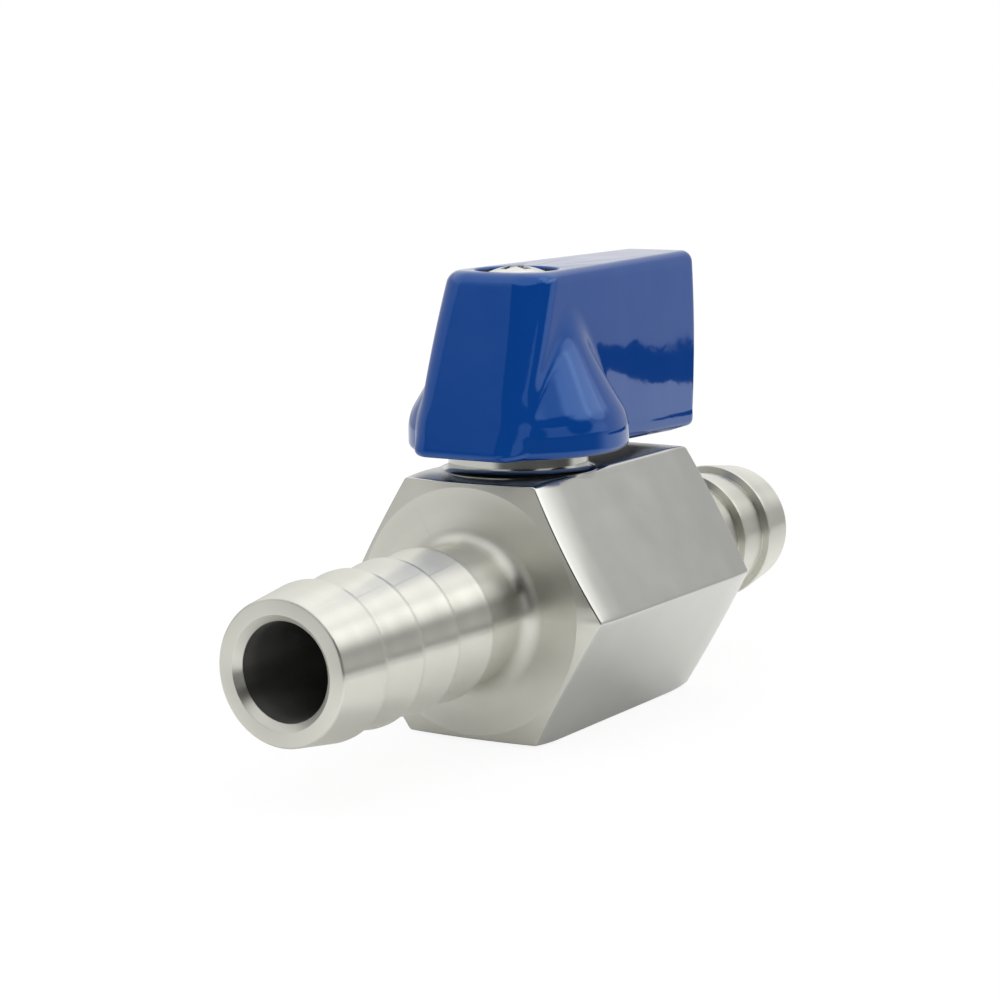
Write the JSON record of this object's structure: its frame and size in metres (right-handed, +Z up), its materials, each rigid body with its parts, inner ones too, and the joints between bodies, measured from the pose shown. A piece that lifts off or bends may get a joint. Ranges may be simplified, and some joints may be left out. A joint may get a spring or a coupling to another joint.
{
  "type": "mini ball valve",
  "caption": "Mini ball valve with a hexagonal steel body, a hose barb at each end and a quarter-turn blue lever on the stem.",
  "frame": {"origin": "centre of the ball, where the flow axis meets the stem's axis", "axes": "+X along the flow, from the near barb to the far barb and along the open lever, +Z up the stem, towards the lever"},
  "size_m": [0.0719, 0.0242, 0.0373],
  "materials": {
    "steel": "turned and tumbled stainless steel, satin to polished",
    "bright_steel": "polished stainless steel",
    "coating": "glossy blue coating with a slight orange peel",
    "ptfe": "white PTFE, waxy",
    "rubber": "black rubber"
  },
  "bodies": {
    "valve_body": {"body": "steel", "end_adapter": "steel", "seat_near": "ptfe", "seat_far": "ptfe", "body_seal": "ptfe", "thrust_washer": "ptfe"},
    "ball_port": {"ball": "bright_steel"},
    "lever_and_stem": {"stem": "bright_steel", "stem_ring_lower": "rubber", "stem_ring_upper": "rubber", "lever": "coating", "lever_washer": "bright_steel", "lever_screw": "bright_steel"}
  },
  "joints": [
    {"name": "lever_turn", "type": "hinge", "parent": "valve_body", "child": "lever_and_stem", "pos_m": [0, 0, 0.012], "axis": [0, 0, 1], "range_deg": [-90, 0]},
    {"name": "ball_turn", "type": "hinge", "parent": "valve_body", "child": "ball_port", "pos_m": [0, 0, 0], "axis": [0, 0, 1], "range_deg": [-90, 0]}
  ],
  "couplings": [
    {"joint": "ball_turn", "follows": "lever_turn", "ratio": 1}
  ]
}
